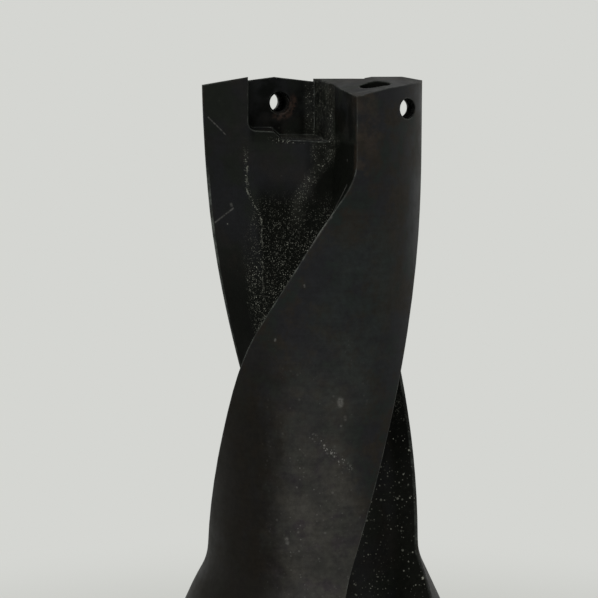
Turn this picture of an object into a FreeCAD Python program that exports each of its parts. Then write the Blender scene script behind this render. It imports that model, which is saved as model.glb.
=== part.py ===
import FreeCAD, Part
import enum
import math
import os
import re
import Sketcher

# Body of a two-flute drill for indexable inserts, turned and milled from one bar of steel.
# The drill stands on the end of its shank, with its axis on +Z and its cutting tip on top.
# Both insert seats lie parallel to the XZ plane: the inner one on the -X wing faces -Y,
# the outer one on the +X wing faces +Y.

doc = FreeCAD.newDocument("InsertDrill")

# Driving dimensions, in millimetres and degrees
sheet = doc.addObject("Spreadsheet::Sheet", "Sizes")


def size(row, alias, value):
    """Put one driving dimension in the sheet, beside its name."""
    sheet.set(f"A{row}", alias)
    sheet.set(f"B{row}", str(value))
    sheet.setAlias(f"B{row}", alias)


DRIVING = {
    # Turned form
    "shank_radius": 16,
    "shank_length": 60,
    "shank_chamfer": 1,
    "flange_radius": 25,
    "flange_length": 12,
    "flange_chamfer": 1,
    "flare_angle": 24.5,
    "flare_blend": 9,
    "body_radius": 16,
    "body_length": 71.95,
    # Clamping flat and coolant supply
    "flat_depth": 2,
    "flat_length": 20,
    "flat_offset": 32,
    "inlet_radius": 8,
    "inlet_chamfer": 1,
    "inlet_depth": 66,
    "inlet_point": 118,
    "coolant_radius": 2.2,
    "coolant_tip_radius": 12.4,
    "outer_coolant_angle": 307.5,
    "inner_coolant_angle": 138,
    "coolant_slant": 8.5,
    "coolant_heading": 32,
    "coolant_overlap": 4,
    # Flutes: angles are seen from the tip, drops are measured down from it
    "flute_lead_in": 4,
    "flute_reach": 31,
    "lead_angle": 173.2,
    "head_twist": 0.93,
    "head_drop": 22,
    "body_twist": 1.15,
    "heel_angle": 281.5,
    "heel_start": 14,
    "heel_twist": 2.3,
    "heel_end": 40,
    "heel_body_twist": 1.36,
    "gully_angle": 267.5,
    "gully_start": 15,
    "gully_twist": 3.05,
    "gully_end": 41,
    "gully_head_radius": 2.6,
    "gully_body_radius": 6.5,
    "gully_blend": 14,
    "inner_web": 2,
    "outer_web": 5.2,
    "body_web": 3,
    "outer_lead_shift": 3,
    "outer_heel_shift": -13,
    "runout_offset": 4,
    # Insert seats, for square-hole inserts with an inscribed circle of 9.525
    "insert_half": 4.76,
    "insert_thickness": 3.97,
    "insert_clearance": 7,
    "seat_corner": 0.8,
    "inner_screw_x": -4.12,
    "inner_screw_drop": 4.4,
    "inner_ledge_rise": 1.1,
    "inner_ledge_width": 3.5,
    "inner_ledge_slope": 1.2,
    "inner_seat_right": 1.1,
    "outer_screw_x": 11.73,
    "outer_screw_drop": 5.05,
    "screw_radius": 1.45,
    "screw_countersink": 0.25,
    # Relief of the tip behind the cutting edges, and the slopes either side of its ridges
    "relief_angle": 9,
    "inner_ridge": 5,
    "inner_outward_slope": 7.1,
    "inner_inward_slope": 6.5,
    "outer_ridge_start": 8,
    "outer_ridge_end": 12.5,
    "outer_slope": 10,
    "core_relief_depth": 0.9,
    # How far cutting tools pass clear of the body
    "cutter_room": 6,
}
for row, (alias, number) in enumerate(DRIVING.items(), start=1):
    size(row, alias, number)
doc.recompute()


def measure(text):
    """Work out an expression on the sheet's aliases."""
    result = sheet.evalExpression(text)
    return float(getattr(result, "Value", result))


def bound(text):
    """Write an expression on the sheet's aliases as another object refers to them."""
    names = "|".join(DRIVING)
    return re.sub(rf"\b({names})\b", r"Sizes.\1", text)


body = doc.addObject("PartDesign::Body", "drill_body")
body.Label = "drill_body"

FLARE_HEIGHT = "(flange_radius - body_radius) / tan(flare_angle * 1deg)"
TIP = f"(shank_length + flange_length + body_length + {FLARE_HEIGHT})"
START, END, CENTRE = enum.IntEnum("Point", ["START", "END", "CENTRE"])
ORIGIN = (-1, START)


def new_sketch(name, role, offset="0"):
    """Add a sketch to the body on one of its origin planes, moved along the plane's normal."""
    sketch = body.newObject("Sketcher::SketchObject", name)
    plane = next(item for item in body.Origin.OriginFeatures if item.Role == role)
    sketch.AttachmentSupport = (plane, "")
    sketch.MapMode = "FlatFace"
    sketch.setExpression(".AttachmentOffset.Base.z", bound(offset))
    return sketch


def bearing(point, about):
    """Give the direction of one point from another, in radians."""
    return math.atan2(point.y - about.y, point.x - about.x)


def constrain(sketch, rules):
    """Add rules to a sketch, all at once, so that it is solved only when it is fully held.

    A rule is a kind of constraint and its geometry. A dimension ends in an expression, which
    it is bound to.
    """
    constraints = []
    for kind, *terms in rules:
        if isinstance(terms[-1], str):
            number = measure(terms.pop())
            terms.append(math.radians(number) if kind == "Angle" else number)
        constraints.append(Sketcher.Constraint(kind, *terms))
    sketch.addConstraint(constraints)
    for index, rule in enumerate(rules):
        if isinstance(rule[-1], str):
            sketch.setExpression(f"Constraints[{index}]", bound(rule[-1]))


def outline(sketch, corners):
    """Draw a closed outline from its corners, given as expressions for x and y.

    A corner with a third expression is rounded to that radius.
    """
    count = len(corners)
    places = [FreeCAD.Vector(measure(x), measure(y), 0) for x, y, *_ in corners]
    entries = list(places)
    exits = list(places)
    arcs = {}
    for i, (_, _, *rounding) in enumerate(corners):
        if not rounding:
            continue
        before = (places[i - 1] - places[i]).normalize()
        after = (places[(i + 1) % count] - places[i]).normalize()
        half = before.getAngle(after) / 2
        radius = measure(rounding[0])
        centre = places[i] + (before + after).normalize() * (radius / math.sin(half))
        entries[i] = places[i] + before * (radius / math.tan(half))
        exits[i] = places[i] + after * (radius / math.tan(half))
        forward = (entries[i] - centre).cross(exits[i] - centre).z > 0
        first, last = (entries[i], exits[i]) if forward else (exits[i], entries[i])
        circle = Part.Circle(centre, FreeCAD.Vector(0, 0, 1), radius)
        arcs[i] = (Part.ArcOfCircle(circle, bearing(first, centre), bearing(last, centre)), forward)
    for i in range(count):
        sketch.addGeometry(Part.LineSegment(exits[i], entries[(i + 1) % count]), False)
    rules = []
    for i, corner in enumerate(corners):
        held = i
        if i in arcs:
            arc, forward = arcs[i]
            rounded = sketch.addGeometry(arc, False)
            first, last = (START, END) if forward else (END, START)
            held = sketch.addGeometry(Part.Point(places[i]), True)
            rules += [
                ("Radius", rounded, corner[2]),
                ("Tangent", i - 1, END, rounded, first),
                ("Tangent", rounded, last, i, START),
                ("PointOnObject", held, START, i - 1),
                ("PointOnObject", held, START, i),
            ]
        else:
            rules.append(("Coincident", i - 1 if i else count - 1, END, i, START))
        rules += [
            ("DistanceX", *ORIGIN, held, START, corner[0]),
            ("DistanceY", *ORIGIN, held, START, corner[1]),
        ]
    constrain(sketch, rules)


# Turned form: shank, flange, flare and body, revolved about the axis
turned_outline = new_sketch("turned_outline", "XZ_Plane")
outline(turned_outline, [
    ("0", "0"),
    ("shank_radius - shank_chamfer", "0"),
    ("shank_radius", "shank_chamfer"),
    ("shank_radius", "shank_length"),
    ("flange_radius - flange_chamfer", "shank_length"),
    ("flange_radius", "shank_length + flange_chamfer"),
    ("flange_radius", "shank_length + flange_length"),
    ("body_radius", f"shank_length + flange_length + {FLARE_HEIGHT}", "flare_blend"),
    ("body_radius", TIP),
    ("0", TIP),
])
turned = body.newObject("PartDesign::Revolution", "turned")
turned.Profile = turned_outline
turned.ReferenceAxis = (turned_outline, ["V_Axis"])
turned.Angle = 360
doc.recompute()


STATIONS = 17


def station(name, number, web, turn, lead_shift, heel_shift):
    """Draw one cross-section of a flute: leading face, round gully and heel wall.

    The sketch's X axis runs from the drill's axis to the leading edge, so the section turns
    with it. Each station keeps its own drop below the tip and its angles as properties.
    """
    sketch = new_sketch(name, "XY_Plane")
    for prop in ("Drop", "LeadAngle", "HeelAngle", "GullyAngle", "GullyRadius", "Web", "RunOut"):
        sketch.addProperty("App::PropertyFloat", prop, "Station")
    own = f"{sketch.Name}."
    sketch.setExpression("Drop", bound(
        f"(flute_lead_in + body_length + {FLARE_HEIGHT}) * {number} / {STATIONS - 1} - flute_lead_in"))
    sketch.setExpression("LeadAngle", bound(
        f"lead_angle + {lead_shift} - head_twist * min({own}Drop; head_drop)"
        f" - body_twist * max({own}Drop - head_drop; 0)"))
    sketch.setExpression("HeelAngle", bound(
        f"heel_angle + {heel_shift} - heel_twist * min(max({own}Drop - heel_start; 0);"
        f" heel_end - heel_start) - heel_body_twist * max({own}Drop - heel_end; 0)"))
    sketch.setExpression("GullyAngle", bound(
        f"gully_angle + {heel_shift} - gully_twist * min(max({own}Drop - gully_start; 0);"
        f" gully_end - gully_start) - body_twist * max({own}Drop - gully_end; 0)"))
    share = f"min(max(({own}Drop - gully_start) / gully_blend; 0); 1)"
    sketch.setExpression("GullyRadius", bound(
        f"gully_head_radius + (gully_body_radius - gully_head_radius) * {share}"))
    sketch.setExpression("Web", bound(f"{web} + (body_web - {web}) * {share}"))
    past = f"max({own}Drop - body_length - runout_offset; 0) / ({FLARE_HEIGHT} - runout_offset)"
    sketch.setExpression("RunOut", bound(f"flange_radius * ({past})^2"))
    doc.recompute()

    radius = measure("body_radius")
    reach = measure("flute_reach")
    opening = math.radians(sketch.HeelAngle - sketch.LeadAngle)
    toward = math.radians(sketch.GullyAngle - sketch.LeadAngle)
    gully = sketch.GullyRadius
    centre = FreeCAD.Vector(math.cos(toward), math.sin(toward), 0) * (gully + sketch.Web)
    lead = FreeCAD.Vector(radius, 0, 0)
    heel = FreeCAD.Vector(math.cos(opening), math.sin(opening), 0) * radius

    def tangent(edge, side):
        """Find the touching point and the outer end of a wall through an edge point."""
        inward = centre - edge
        length = math.sqrt(inward.Length ** 2 - gully ** 2)
        angle = math.atan2(inward.y, inward.x) + side * math.asin(gully / inward.Length)
        along = FreeCAD.Vector(math.cos(angle), math.sin(angle), 0)
        outer = -edge.dot(along) + math.sqrt(edge.dot(along) ** 2 + reach ** 2 - radius ** 2)
        return edge + along * length, edge - along * outer

    lead_touch, lead_out = tangent(lead, 1)
    heel_touch, heel_out = tangent(heel, -1)
    axis = FreeCAD.Vector(0, 0, 0)
    up = FreeCAD.Vector(0, 0, 1)
    face = sketch.addGeometry(Part.LineSegment(lead_out, lead_touch), False)
    floor = sketch.addGeometry(Part.ArcOfCircle(
        Part.Circle(centre, up, gully), bearing(heel_touch, centre), bearing(lead_touch, centre)), False)
    wall = sketch.addGeometry(Part.LineSegment(heel_touch, heel_out), False)
    rim = sketch.addGeometry(Part.ArcOfCircle(
        Part.Circle(axis, up, reach), bearing(lead_out, axis), bearing(heel_out, axis)), False)
    to_lead = sketch.addGeometry(Part.LineSegment(axis, lead), True)
    to_heel = sketch.addGeometry(Part.LineSegment(axis, heel), True)
    to_gully = sketch.addGeometry(Part.LineSegment(axis, centre), True)

    constrain(sketch, [
        ("Radius", rim, "flute_reach"),
        ("Radius", floor, f"{own}GullyRadius"),
        ("Distance", to_lead, "body_radius"),
        ("Distance", to_heel, "body_radius"),
        ("Distance", to_gully, f"{own}GullyRadius + {own}Web"),
        ("Angle", to_heel, f"{own}HeelAngle - {own}LeadAngle"),
        ("Angle", to_gully, f"{own}GullyAngle - {own}LeadAngle"),
        ("Tangent", face, END, floor, END),
        ("Tangent", floor, START, wall, START),
        ("Coincident", wall, END, rim, END),
        ("Coincident", rim, START, face, START),
        ("Coincident", rim, CENTRE, *ORIGIN),
        ("Coincident", to_lead, START, *ORIGIN),
        ("Coincident", to_heel, START, *ORIGIN),
        ("Coincident", to_gully, START, *ORIGIN),
        ("Coincident", to_gully, END, floor, CENTRE),
        ("PointOnObject", to_lead, END, ORIGIN[0]),
        ("PointOnObject", to_lead, END, face),
        ("PointOnObject", to_heel, END, wall),
    ])

    middle = f"(({own}HeelAngle + {own}LeadAngle) / 2 + {turn}) * 1deg"
    sketch.AttachmentOffset = FreeCAD.Placement(axis, FreeCAD.Rotation(up, sketch.LeadAngle))
    sketch.setExpression(".AttachmentOffset.Base.x", f"{own}RunOut * cos({middle})")
    sketch.setExpression(".AttachmentOffset.Base.y", f"{own}RunOut * sin({middle})")
    sketch.setExpression(".AttachmentOffset.Base.z", bound(f"{TIP} - ") + f"{own}Drop")
    sketch.setExpression(".AttachmentOffset.Rotation.Angle", f"({own}LeadAngle + {turn}) * 1deg")
    doc.recompute()
    return sketch


def flute(name, web, turn, lead_shift, heel_shift):
    """Mill one flute: a loft through the stations, from above the tip to its run-out."""
    stations = [station(f"{name}_station_{i}", i, web, turn, lead_shift, heel_shift)
                for i in range(STATIONS)]
    loft = body.newObject("PartDesign::SubtractiveLoft", name)
    loft.Profile = stations[0]
    loft.Sections = stations[1:]
    doc.recompute()


flute("inner_flute", "inner_web", 0, "0", "0")
flute("outer_flute", "outer_web", 180, "outer_lead_shift", "outer_heel_shift")


def pocket(name, sketch, taper=None, through=False, symmetric=False, outward=False):
    """Cut a sketched outline into the body, to a plane clear of it or through all of it."""
    cut = body.newObject("PartDesign::Pocket", name)
    cut.Profile = sketch
    cut.Reversed = outward
    cut.Midplane = symmetric
    if through:
        cut.Type = "ThroughAll"
    else:
        cut.setExpression("Length", bound("body_radius + cutter_room"))
    if taper:
        cut.setExpression("TaperAngle", bound(f"{taper} * 1deg"))
    doc.recompute()


# Tip relief: each wing falls away behind its cutting edge and to both sides of its ridge
def relief(name, angle, corners):
    """Cut the top of one wing along a plane that falls at an angle behind the tip's edge."""
    sketch = new_sketch(name + "_outline", "XZ_Plane")
    sketch.AttachmentOffset = FreeCAD.Placement(
        FreeCAD.Vector(0, 0, 0), FreeCAD.Rotation(FreeCAD.Vector(1, 0, 0), measure(angle)))
    sketch.setExpression(".AttachmentOffset.Base.y", bound(TIP))
    sketch.setExpression(".AttachmentOffset.Rotation.Angle", bound(f"({angle}) * 1deg"))
    outline(sketch, corners)
    pocket(name, sketch, through=True, symmetric=True)


EDGE = "body_radius + cutter_room"
relief("inner_tip_relief", "-relief_angle", [
    ("inner_seat_right", "-(inner_seat_right + inner_ridge) * tan(inner_inward_slope * 1deg)"),
    ("inner_seat_right", "cutter_room"),
    (f"-({EDGE})", "cutter_room"),
    (f"-({EDGE})", f"-({EDGE} - inner_ridge) * tan(inner_outward_slope * 1deg)"),
    ("-inner_ridge", "0"),
])
relief("outer_tip_relief", "relief_angle", [
    ("inner_seat_right", "-(outer_ridge_start - inner_seat_right) * tan(outer_slope * 1deg)"),
    ("outer_ridge_start", "0"),
    ("outer_ridge_end", "0"),
    (EDGE, f"-({EDGE} - outer_ridge_end) * tan(outer_slope * 1deg)"),
    (EDGE, "cutter_room"),
    ("inner_seat_right", "cutter_room"),
])
relief("core_relief", "0", [
    ("inner_seat_right", "-core_relief_depth"),
    ("outer_screw_x - insert_half", "-core_relief_depth"),
    ("outer_screw_x - insert_half", "cutter_room"),
    ("inner_seat_right", "cutter_room"),
])

# Insert seats: the floor is one insert's thickness behind the cutting edge, and the walls
# lean back by the insert's clearance angle
inner_seat_outline = new_sketch("inner_seat_outline", "XZ_Plane", "-insert_thickness")
LEFT = "inner_screw_x - insert_half"
LEDGE = f"{TIP} - inner_screw_drop - insert_half"
outline(inner_seat_outline, [
    (LEFT, f"{TIP} + cutter_room"),
    (LEFT, f"{LEDGE} + inner_ledge_rise", "seat_corner"),
    (f"{LEFT} + inner_ledge_width", f"{LEDGE} + inner_ledge_rise"),
    (f"{LEFT} + inner_ledge_width + inner_ledge_slope", LEDGE),
    ("inner_seat_right", LEDGE),
    ("inner_seat_right", f"{TIP} + cutter_room"),
])
pocket("inner_seat", inner_seat_outline, taper="insert_clearance", outward=True)

outer_seat_outline = new_sketch("outer_seat_outline", "XZ_Plane", "insert_thickness")
outline(outer_seat_outline, [
    ("outer_screw_x - insert_half", f"{TIP} + cutter_room"),
    ("outer_screw_x - insert_half", f"{TIP} - outer_screw_drop - insert_half", "seat_corner"),
    ("body_radius + cutter_room", f"{TIP} - outer_screw_drop - insert_half"),
    ("body_radius + cutter_room", f"{TIP} + cutter_room"),
])
pocket("outer_seat", outer_seat_outline, taper="insert_clearance")


def screw_hole(name, across, drop, floor, into):
    """Drill one insert screw's hole from its seat's floor, with a small countersink.

    The hole is turned about its own axis; into is 1 where it runs towards +Y, -1 for -Y.
    """
    sketch = new_sketch(name + "_outline", "XY_Plane", f"{TIP} - {drop}")
    outline(sketch, [
        (across, f"{floor} - {into} * screw_countersink"),
        (f"{across} + screw_radius + 2 * screw_countersink", f"{floor} - {into} * screw_countersink"),
        (f"{across} + screw_radius", f"{floor} + {into} * screw_countersink"),
        (f"{across} + screw_radius", f"{into} * (body_radius + cutter_room)"),
        (across, f"{into} * (body_radius + cutter_room)"),
    ])
    hole = body.newObject("PartDesign::Groove", name)
    hole.Profile = sketch
    hole.ReferenceAxis = (sketch, ["Edge5"])
    hole.Angle = 360
    doc.recompute()


screw_hole("inner_screw_hole", "inner_screw_x", "inner_screw_drop", "insert_thickness", 1)
screw_hole("outer_screw_hole", "outer_screw_x", "outer_screw_drop", "-insert_thickness", -1)

# Clamping flat on the shank, parallel to the insert seats
flat_outline = new_sketch("flat_outline", "XZ_Plane", "shank_radius - flat_depth")
outline(flat_outline, [
    ("-shank_radius", "flat_offset"),
    ("shank_radius", "flat_offset"),
    ("shank_radius", "flat_offset + flat_length"),
    ("-shank_radius", "flat_offset + flat_length"),
])
pocket("shank_flat", flat_outline, outward=True)

# Coolant inlet, bored up the shank to the point of its drill
INLET_END = "inlet_depth + inlet_radius / tan(inlet_point / 2 * 1deg)"
inlet_outline = new_sketch("inlet_outline", "XZ_Plane")
outline(inlet_outline, [
    ("0", "0"),
    ("inlet_radius + inlet_chamfer", "0"),
    ("inlet_radius", "inlet_chamfer"),
    ("inlet_radius", "inlet_depth"),
    ("0", INLET_END),
])
inlet = body.newObject("PartDesign::Groove", "coolant_inlet")
inlet.Profile = inlet_outline
inlet.ReferenceAxis = (inlet_outline, ["V_Axis"])
inlet.Angle = 360
doc.recompute()

# Coolant channels: drilled from the top of each wing, aslant through its land, into the inlet
def channel(name, place):
    """Drill one straight channel; place is the direction of its mouth from the drill's axis."""
    sketch = new_sketch(name + "_mouth", "XY_Plane")
    circle = sketch.addGeometry(Part.Circle(
        FreeCAD.Vector(0, 0, 0), FreeCAD.Vector(0, 0, 1), measure("coolant_radius")), False)
    constrain(sketch, [("Coincident", circle, CENTRE, *ORIGIN), ("Radius", circle, "coolant_radius")])
    heading = f"({place} + coolant_heading)"
    spread = "cutter_room * tan(coolant_slant * 1deg)"
    sketch.setExpression("AttachmentOffset", bound(
        "create(<<placement>>; create(<<vector>>;"
        f" coolant_tip_radius * cos({place} * 1deg) + {spread} * cos({heading} * 1deg);"
        f" coolant_tip_radius * sin({place} * 1deg) + {spread} * sin({heading} * 1deg);"
        f" {TIP} + cutter_room); create(<<rotation>>; {heading}; coolant_slant; 0))"))
    cut = body.newObject("PartDesign::Pocket", name)
    cut.Profile = sketch
    cut.setExpression("Length", bound(
        f"({TIP} + cutter_room - inlet_depth + coolant_overlap) / cos(coolant_slant * 1deg)"))
    doc.recompute()


channel("outer_coolant_channel", "outer_coolant_angle")
channel("inner_coolant_channel", "inner_coolant_angle")

# Check the model before anything is written
os.makedirs("parts", exist_ok=True)
doc.recompute()
for item in doc.Objects:
    if any(word in item.State for word in ("Invalid", "Error")):
        raise RuntimeError(f"{item.Name} failed: {item.State} {item.getStatusString()}")
parts = [body]
for part in parts:
    if part.Shape.isNull() or not part.Shape.isValid():
        raise RuntimeError(f"{part.Label} has no valid shape")
    part.Shape.exportStep(f"parts/{part.Label}.step")
    print(part.Label, round(part.Shape.Volume), part.Shape.BoundBox)
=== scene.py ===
import math

import bmesh
import bpy
from mathutils import Matrix, Vector


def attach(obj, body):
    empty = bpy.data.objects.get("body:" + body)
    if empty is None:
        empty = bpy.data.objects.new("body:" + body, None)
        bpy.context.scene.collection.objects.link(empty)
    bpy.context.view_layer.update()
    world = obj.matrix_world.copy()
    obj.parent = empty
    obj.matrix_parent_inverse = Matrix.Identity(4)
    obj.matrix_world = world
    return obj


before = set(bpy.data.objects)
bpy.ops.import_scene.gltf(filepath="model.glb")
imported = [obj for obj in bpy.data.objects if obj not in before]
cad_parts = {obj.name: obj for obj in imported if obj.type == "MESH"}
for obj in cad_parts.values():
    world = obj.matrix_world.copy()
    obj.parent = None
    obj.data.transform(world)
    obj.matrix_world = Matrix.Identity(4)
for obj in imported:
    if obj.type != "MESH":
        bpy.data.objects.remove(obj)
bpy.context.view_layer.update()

# Drill body
# One bar of tool steel, turned, milled and blackened. Its lands are paled by handling wear and a painted
# sheen and darkened on one side by painted shade, painted shade darkens its cuts and holes, its edges
# are rubbed paler, and fine pale dust lies in the flutes and along their creases.
MM = 0.001
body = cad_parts["drill_body"]


def node(tree, kind, sockets=None, **settings):
    """Add one shader node. Sockets takes values, or other nodes' outputs to link."""
    made = tree.nodes.new("ShaderNode" + kind)
    for key, value in settings.items():
        setattr(made, key, value)
    for key, value in (sockets or {}).items():
        if isinstance(value, bpy.types.NodeSocket):
            tree.links.new(value, made.inputs[key])
        else:
            made.inputs[key].default_value = value
    return made


def calc(tree, operation, *values):
    """Work out one step of arithmetic on numbers and sockets."""
    return node(tree, "Math", dict(enumerate(values)), operation=operation).outputs[0]


def vector_calc(tree, operation, *values):
    """Work out one step of arithmetic on places and directions."""
    made = node(tree, "VectorMath", dict(enumerate(values)), operation=operation)
    return made.outputs["Value" if operation in ("DOT_PRODUCT", "LENGTH") else "Vector"]


def scaled(tree, vector, factor):
    """Multiply a place, a direction or a colour by one number."""
    return node(tree, "VectorMath", {0: vector, "Scale": factor}, operation="SCALE").outputs[0]


def times(tree, *factors):
    """Multiply numbers or shares together."""
    result = factors[0]
    for factor in factors[1:]:
        result = calc(tree, "MULTIPLY", result, factor)
    return result


def either(tree, *shares):
    """Take the largest of several shares."""
    result = shares[0]
    for share in shares[1:]:
        result = calc(tree, "MAXIMUM", result, share)
    return result


def outside(tree, share):
    """Give 1 where a share is 0, and 0 where it is 1."""
    return calc(tree, "SUBTRACT", 1.0, share)


def ramp(tree, value, low, high, to_low=0.0, to_high=1.0):
    """Turn a value smoothly into another between two limits."""
    sockets = {"Value": value, "From Min": low, "From Max": high, "To Min": to_low, "To Max": to_high}
    return node(tree, "MapRange", sockets, interpolation_type="SMOOTHSTEP").outputs["Result"]


def band(tree, value, middle, core, fade):
    """Give 1 near a middle value and 0 away from it. The middle may be a socket."""
    away = calc(tree, "ABSOLUTE", calc(tree, "SUBTRACT", value, middle))
    return ramp(tree, away, core + fade, core)


def blend_colour(tree, share, first, second):
    """Mix two colours by a share from 0 to 1."""
    made = node(tree, "Mix", {"Factor": share}, data_type="RGBA")
    for socket, value in ((made.inputs[6], first), (made.inputs[7], second)):
        if isinstance(value, bpy.types.NodeSocket):
            tree.links.new(value, socket)
        else:
            socket.default_value = (*value, 1.0)
    return made.outputs[2]


def noise(tree, place, size_mm, detail=3.0, roughness=0.5):
    """Give a cloudy pattern whose blotches are about the given size."""
    sockets = {"Vector": place, "Scale": 1 / size_mm, "Detail": detail, "Roughness": roughness}
    return node(tree, "TexNoise", sockets).outputs["Fac"]


def mottling(tree, place, size_mm, low, high, least=0.0, most=1.0, detail=3.0, roughness=0.5):
    """Sharpen a cloudy pattern into blotches, from least below one limit to most above another."""
    return ramp(tree, noise(tree, place, size_mm, detail, roughness), low, high, least, most)


def specks(tree, place, pitch_mm, reach, share):
    """Put specks of uneven brightness in a share of the cells. Reach is a part of the pitch."""
    cells = node(tree, "TexVoronoi", {"Vector": place, "Scale": 1 / pitch_mm, "Randomness": 1.0})
    luck = node(tree, "SeparateColor", {"Color": cells.outputs["Color"]})
    spot = ramp(tree, cells.outputs["Distance"], reach, reach * 0.3)
    bright = calc(tree, "POWER", luck.outputs[1], 2.0)
    return times(tree, spot, bright, calc(tree, "LESS_THAN", luck.outputs[0], share))


def scatter(tree, place, kinds):
    """Scatter several kinds of specks, each with its pitch in mm, its reach and its share."""
    return either(tree, *(specks(tree, place, *kind) for kind in kinds))


def away_from(tree, place, start, end=None):
    """Give the distance in mm from a point, or from the line between two points."""
    offset = vector_calc(tree, "SUBTRACT", place, start)
    if end:
        line = Vector(end) - Vector(start)
        along = vector_calc(tree, "DOT_PRODUCT", offset, line / line.length_squared)
        along = node(tree, "Clamp", {0: along}).outputs[0]
        offset = vector_calc(tree, "SUBTRACT", offset, scaled(tree, line, along))
    return vector_calc(tree, "LENGTH", offset)


# Every finish is placed by where it lies on the drill, in millimetres. Drops are counted down
# from a level just above the tip.
steel = bpy.data.materials.new("blackened_steel")
steel.use_nodes = True
tree = steel.node_tree
surface = tree.nodes["Principled BSDF"]
place = scaled(tree, node(tree, "TexCoord").outputs["Object"], 1 / MM)
across, depth, height = node(tree, "SeparateXYZ", {0: place}).outputs
radius = calc(tree, "SQRT", calc(tree, "ADD", times(tree, across, across), times(tree, depth, depth)))
DROP_START = 163.7
drop = calc(tree, "SUBTRACT", DROP_START, height)

# The flutes' own directions: reach runs from the axis towards a flute's leading edge, and the
# twist, which is slower over the head, is undone by the drop. Both flutes share one pattern.
HEAD_DROP = 22.0
HEAD_TWIST_PER_MM = math.radians(0.93)
BODY_TWIST_PER_MM = math.radians(1.15)
EDGE_HEADING = math.radians(173.2)
head_twist = calc(tree, "MULTIPLY", calc(tree, "MINIMUM", drop, HEAD_DROP), HEAD_TWIST_PER_MM)
body_drop = calc(tree, "MAXIMUM", calc(tree, "SUBTRACT", drop, HEAD_DROP), 0.0)
twist = calc(tree, "MULTIPLY_ADD", body_drop, BODY_TWIST_PER_MM, head_twist)
turned_back = {"Vector": place, "Angle": calc(tree, "SUBTRACT", twist, EDGE_HEADING)}
untwisted = node(tree, "VectorRotate", turned_back, rotation_type="Z_AXIS").outputs[0]
toward_edge, sideways, _ = node(tree, "SeparateXYZ", {0: untwisted}).outputs
reach = times(tree, toward_edge, calc(tree, "SIGN", sideways))

# Turned surfaces are all that lies on the drill's outline rather than in a cut. The outline
# widens down the flare, and the cuts end above the flange.
BODY_RADIUS = 16.0
FLANGE_RADIUS = 25.0
FLARE_TOP = 91.75
FLARE_SLOPE = math.tan(math.radians(24.5))
CUTS_END = 73.0
flare_rise = times(tree, calc(tree, "SUBTRACT", FLARE_TOP, height), FLARE_SLOPE)
flare_rise = node(tree, "Clamp", {0: flare_rise, 1: 0.0, 2: FLANGE_RADIUS - BODY_RADIUS}).outputs[0]
outline = calc(tree, "ADD", flare_rise, BODY_RADIUS)
in_cut = times(tree, ramp(tree, calc(tree, "SUBTRACT", radius, outline), -0.12, -0.35),
               calc(tree, "GREATER_THAN", height, CUTS_END))
on_land = outside(tree, in_cut)

# The oxide's tone drifts between blue, brown and green blacks. Shade is painted in as a deeper
# black where the cuts are sheltered: in the seats and on the flute floors.
BLUE_BLACK = (0.0052, 0.0056, 0.0068)
BROWN_BLACK = (0.0078, 0.0063, 0.0048)
GREEN_BLACK = (0.0042, 0.0056, 0.0036)
PAINTED_SHADE_BLACK = (0.0021, 0.0025, 0.0017)
SEAT_PAINTED_SHADE = 0.75
FLUTE_PAINTED_SHADE = 0.95
tone = blend_colour(tree, mottling(tree, place, 9.0, 0.4, 0.62), BLUE_BLACK, BROWN_BLACK)
tone = blend_colour(tree, mottling(tree, place, 6.0, 0.48, 0.64, detail=5.0), tone, GREEN_BLACK)
normal = node(tree, "NewGeometry").outputs["Normal"]
facing_up = ramp(tree, node(tree, "SeparateXYZ", {0: normal}).outputs[2], 0.6, 0.95)
below_top = times(tree, in_cut, outside(tree, facing_up))
in_seat = times(tree, ramp(tree, drop, 10.6, 9.4), ramp(tree, reach, 9.6, 8.4), below_top,
                mottling(tree, place, 3.0, 0.62, 0.42, 0.45, 1.0, detail=6.0))
under_seat = times(tree, ramp(tree, drop, 14.0, 20.0), ramp(tree, reach, 9.0, 7.0))
in_flute = either(tree, under_seat, ramp(tree, drop, 20.0, 36.0))
near_axis = times(tree, ramp(tree, reach, 1.5, -1.5), ramp(tree, drop, 8.8, 10.2))
above_run_out = either(tree, ramp(tree, drop, 64.0, 50.0), ramp(tree, radius, 11.5, 13.5))
sheltered = times(tree, either(tree, in_flute, near_axis), below_top, above_run_out)
# Painted shade: the seats and the flute floors are darkened towards near black
painted_shade = either(tree, times(tree, in_seat, SEAT_PAINTED_SHADE), times(tree, sheltered, FLUTE_PAINTED_SHADE))
tone = blend_colour(tree, painted_shade, tone, PAINTED_SHADE_BLACK)

# The lands are mottled blue, brown and green. A brighter teal patch on the front one is the land's own
# teal with a painted sheen
LAND_BLUE = (0.0076, 0.0078, 0.0094)
LAND_BROWN = (0.0122, 0.0096, 0.0066)
LAND_GREEN = (0.0060, 0.0088, 0.0074)
LAND_TEAL_SHEEN = (0.0125, 0.0160, 0.0150)
TEAL_SHEEN_STRENGTH = 0.75
TEAL_SHEEN_STRIP = (5.0, -15.2, 138.0), (2.0, -15.9, 121.0)
brown_share = mottling(tree, place, 5.0, 0.44, 0.6, detail=8.0, roughness=0.66)
land_tone = blend_colour(tree, brown_share, LAND_BLUE, LAND_BROWN)
green_share = mottling(tree, place, 3.6, 0.48, 0.62, detail=8.0, roughness=0.7)
land_tone = blend_colour(tree, green_share, land_tone, LAND_GREEN)
# Painted sheen: the teal patch is brighter than the rest of the land
teal_sheen_share = times(tree, ramp(tree, away_from(tree, place, *TEAL_SHEEN_STRIP), 9.0, 2.0),
                   mottling(tree, place, 3.0, 0.36, 0.6, 0.2, 1.0, detail=8.0, roughness=0.62),
                   TEAL_SHEEN_STRENGTH)
land_tone = blend_colour(tree, teal_sheen_share, land_tone, LAND_TEAL_SHEEN)
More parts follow.
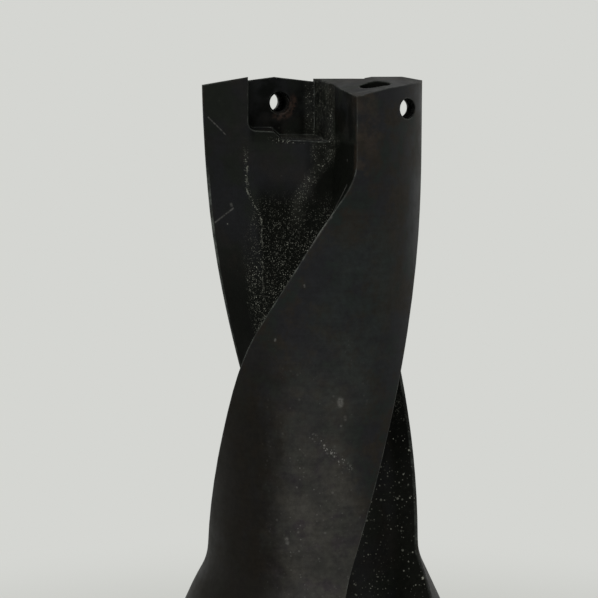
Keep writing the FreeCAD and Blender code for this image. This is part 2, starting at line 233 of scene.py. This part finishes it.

# The lands turn a dull pale grey above the flange, most near the front and the back: partly handling
# wear and partly a broad sheen painted in. One side is painted a darker brown as shade. Both wings
# match: each pattern repeats after half a turn, because it follows the cosine of twice the angle from
# its heading.
LAND_PALE_SHEEN = (0.0400, 0.0376, 0.0332)
LAND_MAUVE_SHEEN = (0.0290, 0.0245, 0.0265)
SHADE_BROWN = (0.0064, 0.0052, 0.0036)
BRUSHED_SHEEN_STRENGTH = 0.45
SHADE_BROWN_STRENGTH = 0.85
SPARED_STRIP = (5.5, -15.0, 114.0), (8.0, -13.9, 102.0)
GRIPPED_SHEEN_HEADING = math.radians(83.0)
BRUSHED_SHEEN_HEADING = math.radians(135.0)
SHADE_BROWN_HEADING = math.radians(30.0)
twice_heading = times(tree, calc(tree, "ARCTAN2", depth, across), 2.0)


def beside_heading(tree, heading):
    """Give 1 at a heading and at its opposite, and -1 halfway between them."""
    return calc(tree, "COSINE", calc(tree, "SUBTRACT", twice_heading, 2 * heading))


uneven = mottling(tree, place, 5.0, 0.30, 0.64, 0.52, 1.0, detail=8.0, roughness=0.6)
# Painted sheen mixed with wear: the lands are paled near the front and back, and low down near the
# flange
gripped_and_sheen = times(tree, ramp(tree, beside_heading(tree, GRIPPED_SHEEN_HEADING), 0.38, 0.97),
                ramp(tree, drop, 30.0, 64.0), ramp(tree, drop, 86.0, 68.0, 0.6, 1.0),
                ramp(tree, away_from(tree, place, *SPARED_STRIP), 1.0, 6.5, 0.25, 1.0))
brushed_and_sheen = times(tree, ramp(tree, beside_heading(tree, BRUSHED_SHEEN_HEADING), -0.2, 0.8),
                ramp(tree, drop, 60.0, 82.0), BRUSHED_SHEEN_STRENGTH)
rubbed_and_sheen = times(tree, either(tree, gripped_and_sheen, brushed_and_sheen), uneven)
mauve_share = mottling(tree, place, 3.2, 0.5, 0.66, detail=6.0, roughness=0.6)
land_tone = blend_colour(tree, rubbed_and_sheen, land_tone, blend_colour(tree, mauve_share, LAND_PALE_SHEEN, LAND_MAUVE_SHEEN))
# Painted shade: one side of the lands is darkened to a brown
ragged = calc(tree, "MULTIPLY_ADD", noise(tree, place, 4.0, detail=8.0, roughness=0.65), 1.6, -0.8)
on_one_side = calc(tree, "ADD", beside_heading(tree, SHADE_BROWN_HEADING), ragged)
shaded_brown_side = times(tree, ramp(tree, on_one_side, -0.05, 0.9), ramp(tree, drop, 26.0, 50.0), on_land)
land_tone = blend_colour(tree, times(tree, shaded_brown_side, SHADE_BROWN_STRENGTH), land_tone, SHADE_BROWN)
tone = blend_colour(tree, on_land, tone, land_tone)

# The holder has rubbed the shank in two belts, and its screw has marked the clamping flat
HELD_GREY = (0.030, 0.030, 0.029)
BELT_HEIGHTS = (12.0, 51.0)
BELT_STRENGTH = 0.6
FLAT_MIDDLE = (0.0, -14.0, 42.0)
SCREW_MARK_RADIUS = 4.0
belts = either(tree, *(band(tree, height, middle, 3.0, 5.0) for middle in BELT_HEIGHTS))
belts = times(tree, belts, uneven, mottling(tree, place, 1.6, 0.42, 0.62, detail=8.0, roughness=0.7))
pressed = band(tree, away_from(tree, place, FLAT_MIDDLE), SCREW_MARK_RADIUS, 0.25, 0.6)
held = either(tree, times(tree, belts, BELT_STRENGTH), times(tree, pressed, uneven))
tone = blend_colour(tree, held, tone, HELD_GREY)

# Edges are rubbed to a paler grey where a rounded and the real normal differ, and the outermost
# rim of the wings is half as pale
EDGE_GREY = (0.160, 0.173, 0.156)
EDGE_ROUNDING = 0.35
RIM_RADIUS = 15.72
RIM_STRENGTH = 0.5
rounded = node(tree, "Bevel", {"Radius": EDGE_ROUNDING * MM}, samples=6).outputs["Normal"]
edge = ramp(tree, vector_calc(tree, "DOT_PRODUCT", rounded, normal), 0.98, 0.88)
rim = times(tree, band(tree, calc(tree, "SUBTRACT", radius, flare_rise), RIM_RADIUS, 0.12, 0.14),
            ramp(tree, drop, 12.0, 18.0), RIM_STRENGTH)
worn = mottling(tree, place, 2.4, 0.42, 0.62, 0.2, 1.0, detail=6.0, roughness=0.7)
wear = times(tree, either(tree, edge, rim), worn)
wear_depth = times(tree, ramp(tree, drop, 11.0, 18.0, 0.45, 1.0), ramp(tree, drop, 42.0, 24.0, 0.5, 1.0))
tone = blend_colour(tree, times(tree, wear, wear_depth), tone, EDGE_GREY)

# Rust has crept out of the screw holes, down and towards the axis. A hole is given by its place
# across the drill and its height.
RUST = (0.036, 0.0225, 0.0175)
RUST_STRENGTH = 0.75
RUST_RING_RADIUS = 1.95
SEAT_FACE = 3.97
INNER_HOLE = (-4.12, 159.3)
OUTER_HOLE = (11.73, 158.65)
for (hole_across, hole_height), behind in ((INNER_HOLE, 1.0), (OUTER_HOLE, -1.0)):
    mouth = (hole_across, behind * SEAT_FACE, hole_height)
    from_mouth = vector_calc(tree, "SUBTRACT", place, mouth)
    downhill = vector_calc(tree, "DOT_PRODUCT", from_mouth, (behind * 0.7, 0.0, -0.71))
    ring = band(tree, away_from(tree, place, mouth), RUST_RING_RADIUS, 0.3, 0.55)
    crust = mottling(tree, place, 0.6, 0.36, 0.6, detail=5.0, roughness=0.7)
    rusted = times(tree, ring, ramp(tree, downhill, 0.0, 1.5), crust, RUST_STRENGTH)
    tone = blend_colour(tree, rusted, tone, RUST)

# Two brown stains run down the land beside the outer wing's wall
STAIN = (0.024, 0.0175, 0.0125)
STAIN_STRENGTH = 0.65
STAINS = (
    ((4.6, -15.2, 160.5), (5.4, -15.0, 154.5), 3.0),
    ((4.1, -15.4, 161.5), (3.9, -15.5, 150.0), 1.8),
)
stained = either(tree, *(ramp(tree, away_from(tree, place, top, foot), width, 0.5)
                         for top, foot, width in STAINS))
stained = times(tree, stained, mottling(tree, place, 2.0, 0.4, 0.62, detail=5.0), STAIN_STRENGTH)
tone = blend_colour(tree, stained, tone, STAIN)

# Dust lies on the flute floors, along the edges of the flat head face, and on the seat's ledge.
# The floors' edge and the two creases each run between two drops, from one reach to another.
DUST_GREY = (0.35, 0.355, 0.30)
DUST_STRENGTH = 0.85
CREASE_STRENGTH = 0.9
FINE_GRAINS = ((0.29, 0.40, 0.42), (0.17, 0.5, 0.6))
LEDGE_DROP = 9.75
FLOOR_EDGE = (18.0, 26.0, 8.6, 10.8)
RIGHT_CREASE = (9.0, 19.5, -2.6, 2.4)
LEFT_CREASE = (16.5, 22.5, 9.7, 7.4)
floor_edge = ramp(tree, drop, *FLOOR_EDGE)
on_floor = times(tree, ramp(tree, calc(tree, "SUBTRACT", reach, floor_edge), 0.6, -1.6),
                 ramp(tree, drop, 16.5, 20.0), ramp(tree, drop, 18.0, 34.0, 0.45, 1.25),
                 ramp(tree, drop, 56.0, 42.0))
right_crease = ramp(tree, drop, *RIGHT_CREASE)
below_seat = times(tree, band(tree, calc(tree, "SUBTRACT", reach, right_crease), -0.8, 0.5, 1.2),
                   ramp(tree, drop, 8.0, 10.0), ramp(tree, drop, 24.0, 19.0), CREASE_STRENGTH)
beside_seat = times(tree, band(tree, across, 1.3, 1.4, 0.6), ramp(tree, radius, 6.0, 4.8),
                    ramp(tree, drop, 0.6, 4.0, 0.4, 1.0), ramp(tree, drop, 14.0, 11.0), CREASE_STRENGTH)
beside = either(tree, below_seat, beside_seat)
left_crease = ramp(tree, drop, *LEFT_CREASE)
along_crease = times(tree, ramp(tree, drop, 9.0, 13.0), ramp(tree, drop, 36.0, 28.0))
crease = times(tree, band(tree, reach, left_crease, 0.12, 0.4), along_crease, CREASE_STRENGTH)
ledge = times(tree, band(tree, drop, LEDGE_DROP, 0.15, 0.45), ramp(tree, radius, 7.0, 4.5))
clumps = mottling(tree, place, 2.0, 0.36, 0.6, 0.3, 1.0, detail=6.0, roughness=0.65)
thick = times(tree, either(tree, on_floor, beside), clumps)
thick = times(tree, either(tree, thick, crease, ledge), in_cut)
dusted = times(tree, thick, scatter(tree, place, FINE_GRAINS))

# A thin broken seam of dust wavers along the left crease. Single larger grains lie anywhere in
# the flutes, crumbs gather low down in them, and a faint film greys the dustiest places.
CRUMBS = ((1.2, 0.24, 0.5), (0.7, 0.26, 0.45), (0.36, 0.34, 0.45))
STRAYS = ((1.5, 0.14, 0.30),)
SEAM_STRENGTH = 0.4
UPPER_FILM = 0.035
LOWER_FILM = 0.018
wavering = calc(tree, "ADD", noise(tree, place, 1.5), calc(tree, "SUBTRACT", left_crease, 0.5))
seam = times(tree, band(tree, reach, wavering, 0.03, 0.14), along_crease,
             mottling(tree, place, 0.8, 0.46, 0.62, detail=6.0, roughness=0.7), SEAM_STRENGTH, in_cut)
strays = times(tree, scatter(tree, place, STRAYS), in_cut, ramp(tree, drop, 10.0, 30.0, 0.1, 0.9))
gathered = mottling(tree, place, 3.0, 0.38, 0.56, 0.3, 1.3, detail=4.0)
crumbs = times(tree, scatter(tree, place, CRUMBS), in_cut, ramp(tree, drop, 46.0, 58.0), gathered,
               mottling(tree, place, 0.25, 0.3, 0.5))
low_down = times(tree, ramp(tree, drop, 54.0, 64.0), in_cut, ramp(tree, reach, 11.0, 8.0), LOWER_FILM)
film = either(tree, times(tree, beside, clumps, in_cut, UPPER_FILM), low_down)
dusted = either(tree, dusted, strays, crumbs, film, seam)
tone = blend_colour(tree, times(tree, dusted, DUST_STRENGTH), tone, DUST_GREY)

# Scuffs and nicks on the land and on the leading face: start, end, width in mm and strength
SCUFF_GREY = (0.135, 0.132, 0.123)
SCUFF_STRENGTH = 0.6
SCUFFS = (
    ((2.46, -13.38, 148.1), (1.63, -13.27, 146.4), 0.4, 0.8),
    ((1.63, -13.27, 146.4), (1.15, -13.57, 145.6), 0.4, 1.0),
    ((1.15, -13.57, 145.6), (0.51, -14.7, 144.9), 0.4, 1.0),
    ((0.51, -14.7, 144.9), (-0.3, -15.99, 144.1), 0.4, 0.9),
    ((-0.3, -16.0, 144.1), (-3.0, -15.7, 140.0), 0.26, 0.6),
    ((3.9, -13.0, 161.0), (6.6, -13.3, 161.1), 0.6, 0.3),
    ((1.15, -15.96, 118.4), (1.2, -15.95, 117.8), 0.65, 1.0),
    ((1.85, -15.9, 116.0), (1.9, -15.9, 115.6), 0.35, 0.6),
    ((-6.3, -14.7, 98.4), (-6.2, -14.75, 97.8), 0.45, 0.9),
    ((-14.84, 3.27, 157.25), (-12.4, 2.98, 154.76), 0.16, 0.8),
    ((-13.57, 7.01, 141.43), (-11.1, 4.69, 143.7), 0.2, 0.8),
    ((-11.4, 4.74, 144.3), (-11.4, 4.7, 144.1), 0.36, 0.7),
    ((-3.84, -15.53, 134.7), (-3.8, -15.5, 134.5), 0.22, 0.8),
    ((-7.69, -14.03, 127.0), (-7.7, -14.0, 126.8), 0.24, 0.8),
    ((-9.34, 2.98, 147.7), (-9.3, 3.0, 147.6), 0.20, 0.8),
    ((3.05, -11.08, 151.6), (3.1, -11.1, 151.5), 0.18, 0.8),
)
marks = either(tree, *(ramp(tree, away_from(tree, place, start, end), width, width * 0.1, 0.0, strength)
                       for start, end, width, strength in SCUFFS))
marks = times(tree, marks, mottling(tree, place, 0.35, 0.3, 0.62, 0.2, 1.0, detail=4.0, roughness=0.6))

# A row of small chips crosses the land, and pale flecks are strewn over its stretch of wear and painted
# sheen
CHIPPED_LINE = (-2.6, -15.8, 113.4), (2.4, -15.8, 108.6)
CHIP_STRENGTH = 2.6
CHIPS = ((0.5, 0.45, 0.8), (0.27, 0.5, 0.8))
FLECKS = ((1.0, 0.26, 0.5), (0.45, 0.34, 0.35))
chipped = times(tree, ramp(tree, away_from(tree, place, *CHIPPED_LINE), 0.8, 0.2),
                scatter(tree, place, CHIPS), CHIP_STRENGTH)
flecks = times(tree, scatter(tree, place, FLECKS), rubbed_and_sheen, on_land,
               mottling(tree, place, 3.0, 0.4, 0.6, 0.25, 1.6))
marks = either(tree, marks, chipped, flecks)
tone = blend_colour(tree, times(tree, marks, SCUFF_STRENGTH), tone, SCUFF_GREY)

# A finer unevenness with faint level lines runs through every tone, and the tapped holes are
# darkened inside with painted shade
HOLE_RADIUS = 1.46
HOLE_PAINTED_SHADE = 0.3
HOLE_SHADE_FADE = 0.06
LEVEL_STRETCH = (0.05, 0.05, 1.0)
ACROSS_A_HOLE = (1.0, 0.0, 1.0)
unevenness_and_hole_shade = mottling(tree, place, 0.9, 0.3, 0.7, 0.74, 1.26, detail=8.0, roughness=0.75)
stretched = vector_calc(tree, "MULTIPLY", place, LEVEL_STRETCH)
unevenness_and_hole_shade = times(tree, unevenness_and_hole_shade, mottling(tree, stretched, 0.45, 0.3, 0.7, 0.93, 1.07, detail=4.0))
# Painted shade inside the tapped holes
for hole_across, hole_height in (INNER_HOLE, OUTER_HOLE):
    from_axis = vector_calc(tree, "SUBTRACT", place, (hole_across, 0.0, hole_height))
    from_axis = vector_calc(tree, "LENGTH", vector_calc(tree, "MULTIPLY", from_axis, ACROSS_A_HOLE))
    into_steel = HOLE_RADIUS + HOLE_SHADE_FADE
    unevenness_and_hole_shade = times(tree, unevenness_and_hole_shade, ramp(tree, from_axis, HOLE_RADIUS, into_steel, HOLE_PAINTED_SHADE, 1.0))
tree.links.new(scaled(tree, tone, unevenness_and_hole_shade), surface.inputs["Base Color"])

# The oxide has little shine, and less of it in the cuts, on the faces that look up and on the
# brown side painted as shade. A bump gives it a fine grain.
SHINE = 0.13
SHINE_LOST_IN_CUTS = 0.096
SHINE_LOST_ON_TOP = 0.027
SHINE_LOST_ON_BROWN = 0.054
ROUGHER_ON_TOP = 0.14
GRAIN_SIZE = 0.35
GRAIN_HEIGHT = 0.05
shine_lost = either(tree, times(tree, either(tree, sheltered, in_seat), SHINE_LOST_IN_CUTS),
                    times(tree, facing_up, SHINE_LOST_ON_TOP),
                    times(tree, shaded_brown_side, SHINE_LOST_ON_BROWN))
tree.links.new(calc(tree, "SUBTRACT", SHINE, shine_lost), surface.inputs["Specular IOR Level"])
matt = mottling(tree, place, 5.0, 0.3, 0.7, 0.46, 0.62, detail=6.0, roughness=0.65)
tree.links.new(calc(tree, "MULTIPLY_ADD", facing_up, ROUGHER_ON_TOP, matt), surface.inputs["Roughness"])
grain = {"Strength": 0.12, "Distance": GRAIN_HEIGHT * MM, "Normal": rounded}
grain["Height"] = noise(tree, place, GRAIN_SIZE)
tree.links.new(node(tree, "Bump", grain).outputs["Normal"], surface.inputs["Normal"])
body.data.materials.clear()
body.data.materials.append(steel)

# Screw threads
# Each seat's screw hole is tapped in the body's own steel. The thread is a ridge that winds
# round the hole's wall, with a plain stretch at both ends.
THREAD_PITCH = 0.6
RIDGE_HEIGHT = 0.11
THREAD_START = 4.9
INNER_THREAD_END = 13.9
OUTER_THREAD_END = 9.4
STEPS = 32


def screw_thread(name, hole, from_mm, to_mm):
    """Wind one ridge round a hole that runs along Y between two depths."""
    hole_across, hole_height = hole
    turns = int(abs(to_mm - from_mm) / THREAD_PITCH)
    step = math.copysign(THREAD_PITCH / STEPS, to_mm - from_mm)
    half_width = THREAD_PITCH * 0.4
    form = bmesh.new()
    corners = [form.verts.new((HOLE_RADIUS, from_mm - half_width, 0.0)),
               form.verts.new((HOLE_RADIUS - RIDGE_HEIGHT, from_mm, 0.0)),
               form.verts.new((HOLE_RADIUS, from_mm + half_width, 0.0))]
    ridge = form.faces.new(corners)
    bmesh.ops.spin(form, geom=[ridge], cent=(0.0, 0.0, 0.0), axis=(0.0, 1.0, 0.0),
                   dvec=(0.0, step, 0.0), angle=math.tau * turns, steps=STEPS * turns)
    bmesh.ops.recalc_face_normals(form, faces=form.faces)
    bmesh.ops.translate(form, verts=form.verts, vec=(hole_across, 0.0, hole_height))
    bmesh.ops.scale(form, verts=form.verts, vec=(MM, MM, MM))
    mesh = bpy.data.meshes.new(name)
    form.to_mesh(mesh)
    form.free()
    mesh.materials.append(steel)
    thread = bpy.data.objects.new(name, mesh)
    bpy.context.collection.objects.link(thread)
    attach(thread, "root")


screw_thread("inner_screw_thread", INNER_HOLE, THREAD_START, INNER_THREAD_END)
screw_thread("outer_screw_thread", OUTER_HOLE, -THREAD_START, -OUTER_THREAD_END)

# Floor and light
# A plain pale table in a bright, even room. Far from the drill the table fades into the room's
# own colour, so that no horizon shows.
PALE_GREY = (0.665, 0.672, 0.645)
FLOOR_SIZE = 12.0
FADE_START = 0.16
FADE_END = 0.30
bpy.ops.mesh.primitive_plane_add(size=FLOOR_SIZE)
floor = bpy.context.object
floor.name = "floor"
paint = bpy.data.materials.new("pale_floor")
paint.use_nodes = True
table = paint.node_tree
table_surface = table.nodes["Principled BSDF"]
table_surface.inputs["Base Color"].default_value = (*PALE_GREY, 1.0)
table_surface.inputs["Roughness"].default_value = 0.9
table_surface.inputs["Specular IOR Level"].default_value = 0.1
far_off = vector_calc(table, "LENGTH", node(table, "TexCoord").outputs["Object"])
faded = ramp(table, far_off, FADE_START, FADE_END)
glow = node(table, "Emission", {"Color": (*PALE_GREY, 1.0)}).outputs[0]
table_mix = node(table, "MixShader", {0: faded, 1: table_surface.outputs[0], 2: glow})
table.links.new(table_mix.outputs[0], table.nodes["Material Output"].inputs["Surface"])
floor.data.materials.append(paint)

# The room lights the drill a little less brightly than it shows behind it
ROOM_LIGHT = 0.75
world = bpy.data.worlds.new("pale_room")
bpy.context.scene.world = world
world.use_nodes = True
room = world.node_tree
rays = node(room, "LightPath").outputs
shown = either(room, rays["Is Camera Ray"], rays["Is Glossy Ray"], rays["Is Transmission Ray"])
backdrop = room.nodes["Background"]
backdrop.inputs["Color"].default_value = (*PALE_GREY, 1.0)
room.links.new(ramp(room, shown, 0.0, 1.0, ROOM_LIGHT, 1.0), backdrop.inputs["Strength"])


def lamp(name, place, aim, size, power):
    """Hang one square soft lamp and turn it towards a point."""
    light = bpy.data.lights.new(name, "AREA")
    light.size = size
    light.energy = power
    hung = bpy.data.objects.new(name, light)
    bpy.context.collection.objects.link(hung)
    hung.location = place
    hung.rotation_euler = (Vector(aim) - Vector(place)).to_track_quat("-Z", "Y").to_euler()


MIDDLE = (0.0, 0.0, 0.1)
lamp("front_lamp", (-0.5, -0.9, 0.9), MIDDLE, size=0.8, power=6.0)
lamp("back_lamp", (0.5, 0.9, 1.0), MIDDLE, size=0.9, power=2.5)

# Camera
# It stands a little to the left of the seat's face and looks down, near enough to the drill
# for the shank to fall below the picture, as in the photograph.
FRAME_PIXELS = 598
FOCAL_PIXELS = 1502.0
HEADING = math.radians(9.5)
TILT = math.radians(8.5)
ROLL = math.radians(0.15)
AIM = Vector((0.0, 0.0, 0.1632487))
AIM_DISTANCE = 0.21841
AIM_ACROSS_PIXELS = 311.85
AIM_DOWN_PIXELS = 75.6
camera_data = bpy.data.cameras.new("camera")
camera = bpy.data.objects.new("camera", camera_data)
bpy.context.collection.objects.link(camera)
bpy.context.scene.camera = camera
camera_data.lens = camera_data.sensor_width * FOCAL_PIXELS / FRAME_PIXELS
right = Vector((math.cos(HEADING), -math.sin(HEADING), 0.0))
level = Vector((math.sin(HEADING), math.cos(HEADING), 0.0))
ahead = level * math.cos(TILT) - Vector((0.0, 0.0, math.sin(TILT)))
above = right.cross(ahead)
turn = Matrix.Rotation(ROLL, 3, ahead)
right, above = turn @ right, turn @ above
off_right = (AIM_ACROSS_PIXELS - FRAME_PIXELS / 2) / FOCAL_PIXELS * AIM_DISTANCE
off_above = (FRAME_PIXELS / 2 - AIM_DOWN_PIXELS) / FOCAL_PIXELS * AIM_DISTANCE
stand = AIM - ahead * AIM_DISTANCE - right * off_right - above * off_above
camera.matrix_world = Matrix.Translation(stand) @ Matrix((right, above, -ahead)).transposed().to_4x4()

bpy.context.scene.view_settings.view_transform = "Standard"
